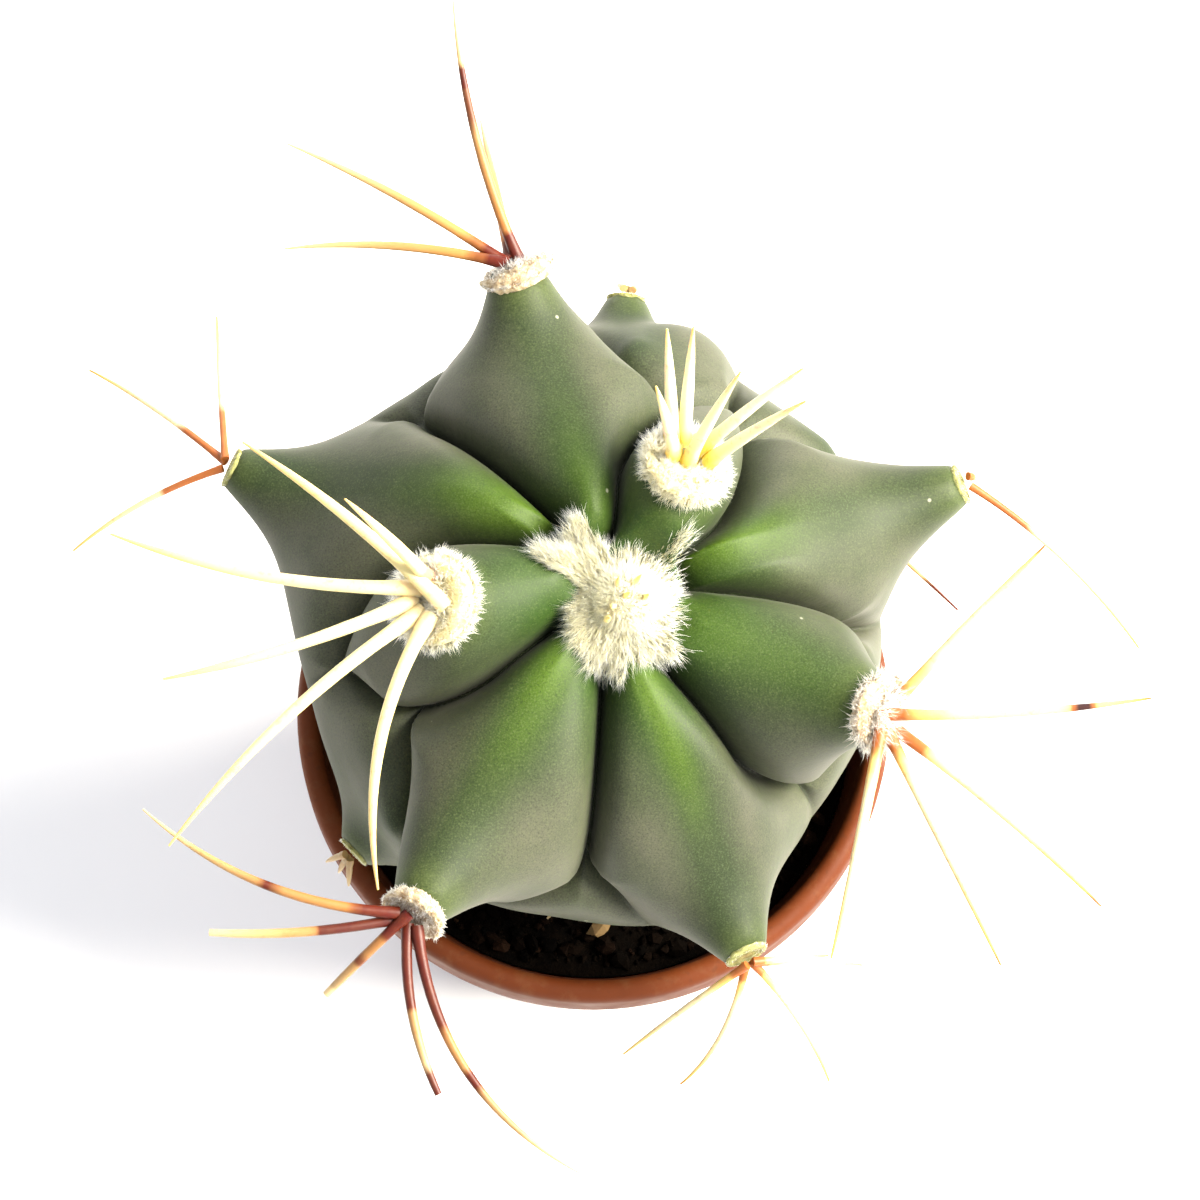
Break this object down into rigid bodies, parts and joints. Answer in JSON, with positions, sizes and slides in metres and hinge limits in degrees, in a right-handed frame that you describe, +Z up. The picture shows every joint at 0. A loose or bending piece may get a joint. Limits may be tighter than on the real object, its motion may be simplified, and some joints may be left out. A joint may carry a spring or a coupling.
{
  "type": "potted barrel cactus",
  "caption": "Young barrel cactus with long pointed tubercles, felted areoles and curved spines, growing in soil in a small round tapered pot with a rounded rim.",
  "frame": {"origin": "centre of the flat underside of the pot, on the surface it stands on", "axes": "+Z up along the pot's middle line, +Y away from the viewer, towards the side that the plant leans over, +X to the right"},
  "size_m": [0.097, 0.1035, 0.0989],
  "materials": {
    "pot": "satin terracotta-coloured plastic",
    "soil": "near-black damp potting soil",
    "skin": "matt grey-green waxy plant skin",
    "wool": "cream plant felt",
    "pale_spine": "satin pale straw-coloured spine",
    "amber_spine": "satin amber spine, paler at the tip",
    "red_spine": "satin dark red spine, banded towards the tip"
  },
  "bodies": {
    "root": {"pot": "pot", "soil": "soil", "stem": "skin", "crown_wool": "wool", "areole_wool_01": "wool", "areole_wool_02": "wool", "areole_wool_03": "wool", "areole_wool_04": "wool", "areole_wool_05": "wool", "areole_wool_06": "wool", "areole_wool_07": "wool", "areole_wool_08": "wool", "areole_wool_09": "wool", "areole_wool_10": "wool", "areole_wool_11": "wool", "areole_wool_12": "wool", "areole_wool_13": "wool", "areole_wool_14": "wool", "spines_01": "pale_spine", "spines_02": "pale_spine", "spines_03": "amber_spine", "spines_04": "red_spine", "spines_05": "red_spine", "spines_06": "amber_spine", "spines_07": "amber_spine", "spines_08": "amber_spine", "spines_09": "red_spine", "spines_10": "red_spine", "spines_11": "red_spine", "spines_12": "red_spine", "spines_13": "red_spine", "spines_14": "red_spine"}
  },
  "joints": []
}
